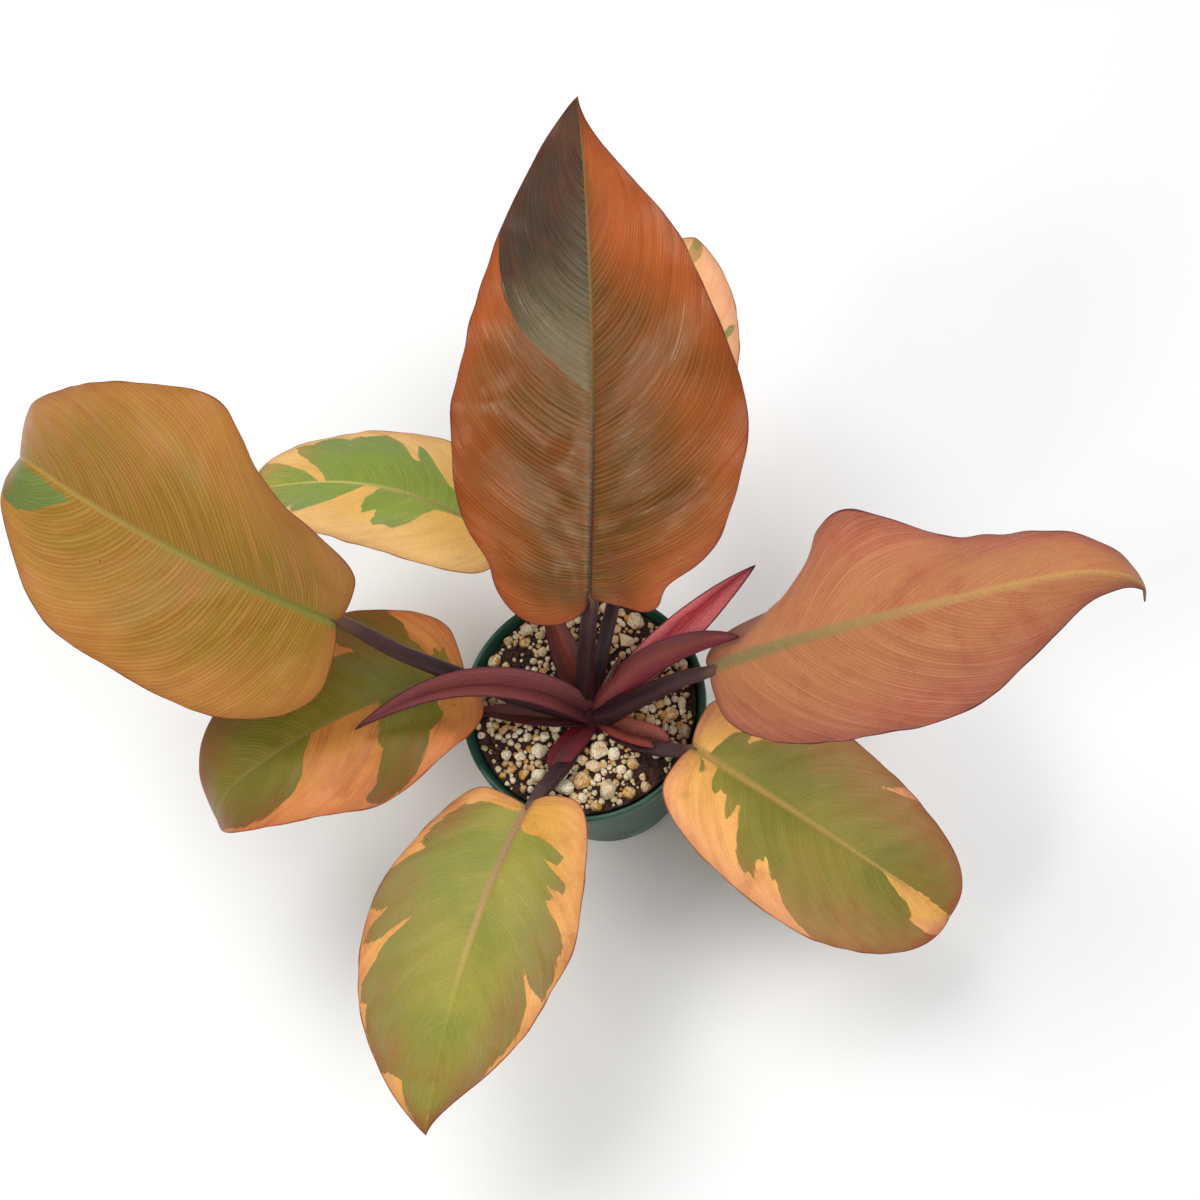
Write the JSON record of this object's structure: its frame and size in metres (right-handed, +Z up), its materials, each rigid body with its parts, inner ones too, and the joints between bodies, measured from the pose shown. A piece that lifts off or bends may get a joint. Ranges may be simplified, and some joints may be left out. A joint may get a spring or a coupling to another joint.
{
  "type": "potted philodendron",
  "caption": "Young variegated philodendron with broad glossy leaves on dark stalks, standing in gritty mix in a round plastic nursery pot.",
  "frame": {"origin": "centre of the pot's flat underside", "axes": "+Z up along the pot's axis, +Y towards the tall back leaf, -Y towards the front leaves"},
  "size_m": [0.27, 0.2353, 0.1842],
  "materials": {
    "pot": "satin dark green moulded plastic",
    "soil": "loose bark mix with coarse pale mineral grains",
    "stem": "smooth waxy stem",
    "petiole": "semi-gloss dark maroon stalk",
    "bract": "semi-gloss maroon",
    "bract_red": "semi-gloss crimson",
    "leaf_orange": "glossy orange-brown leaf",
    "leaf_ochre": "semi-gloss ochre leaf",
    "leaf_green": "semi-gloss green leaf with orange sectors",
    "leaf_salmon": "satin salmon leaf",
    "leaf_peach": "satin peach leaf"
  },
  "bodies": {
    "root": {"pot": "pot", "stem": "stem", "petiole_back": "petiole", "petiole_right": "petiole", "petiole_left": "petiole", "petiole_rear_right": "petiole", "petiole_rear_left": "petiole", "petiole_low_left": "petiole", "petiole_front": "petiole", "petiole_low_right": "petiole", "bract_left": "bract", "bract_right": "bract", "bract_upright": "bract_red", "blade_back": "leaf_orange", "blade_left": "leaf_ochre", "blade_rear_left": "leaf_green", "blade_low_left": "leaf_green", "blade_front": "leaf_green", "blade_low_right": "leaf_green", "blade_right": "leaf_salmon", "blade_rear_right": "leaf_peach", "soil": "soil"}
  },
  "joints": []
}
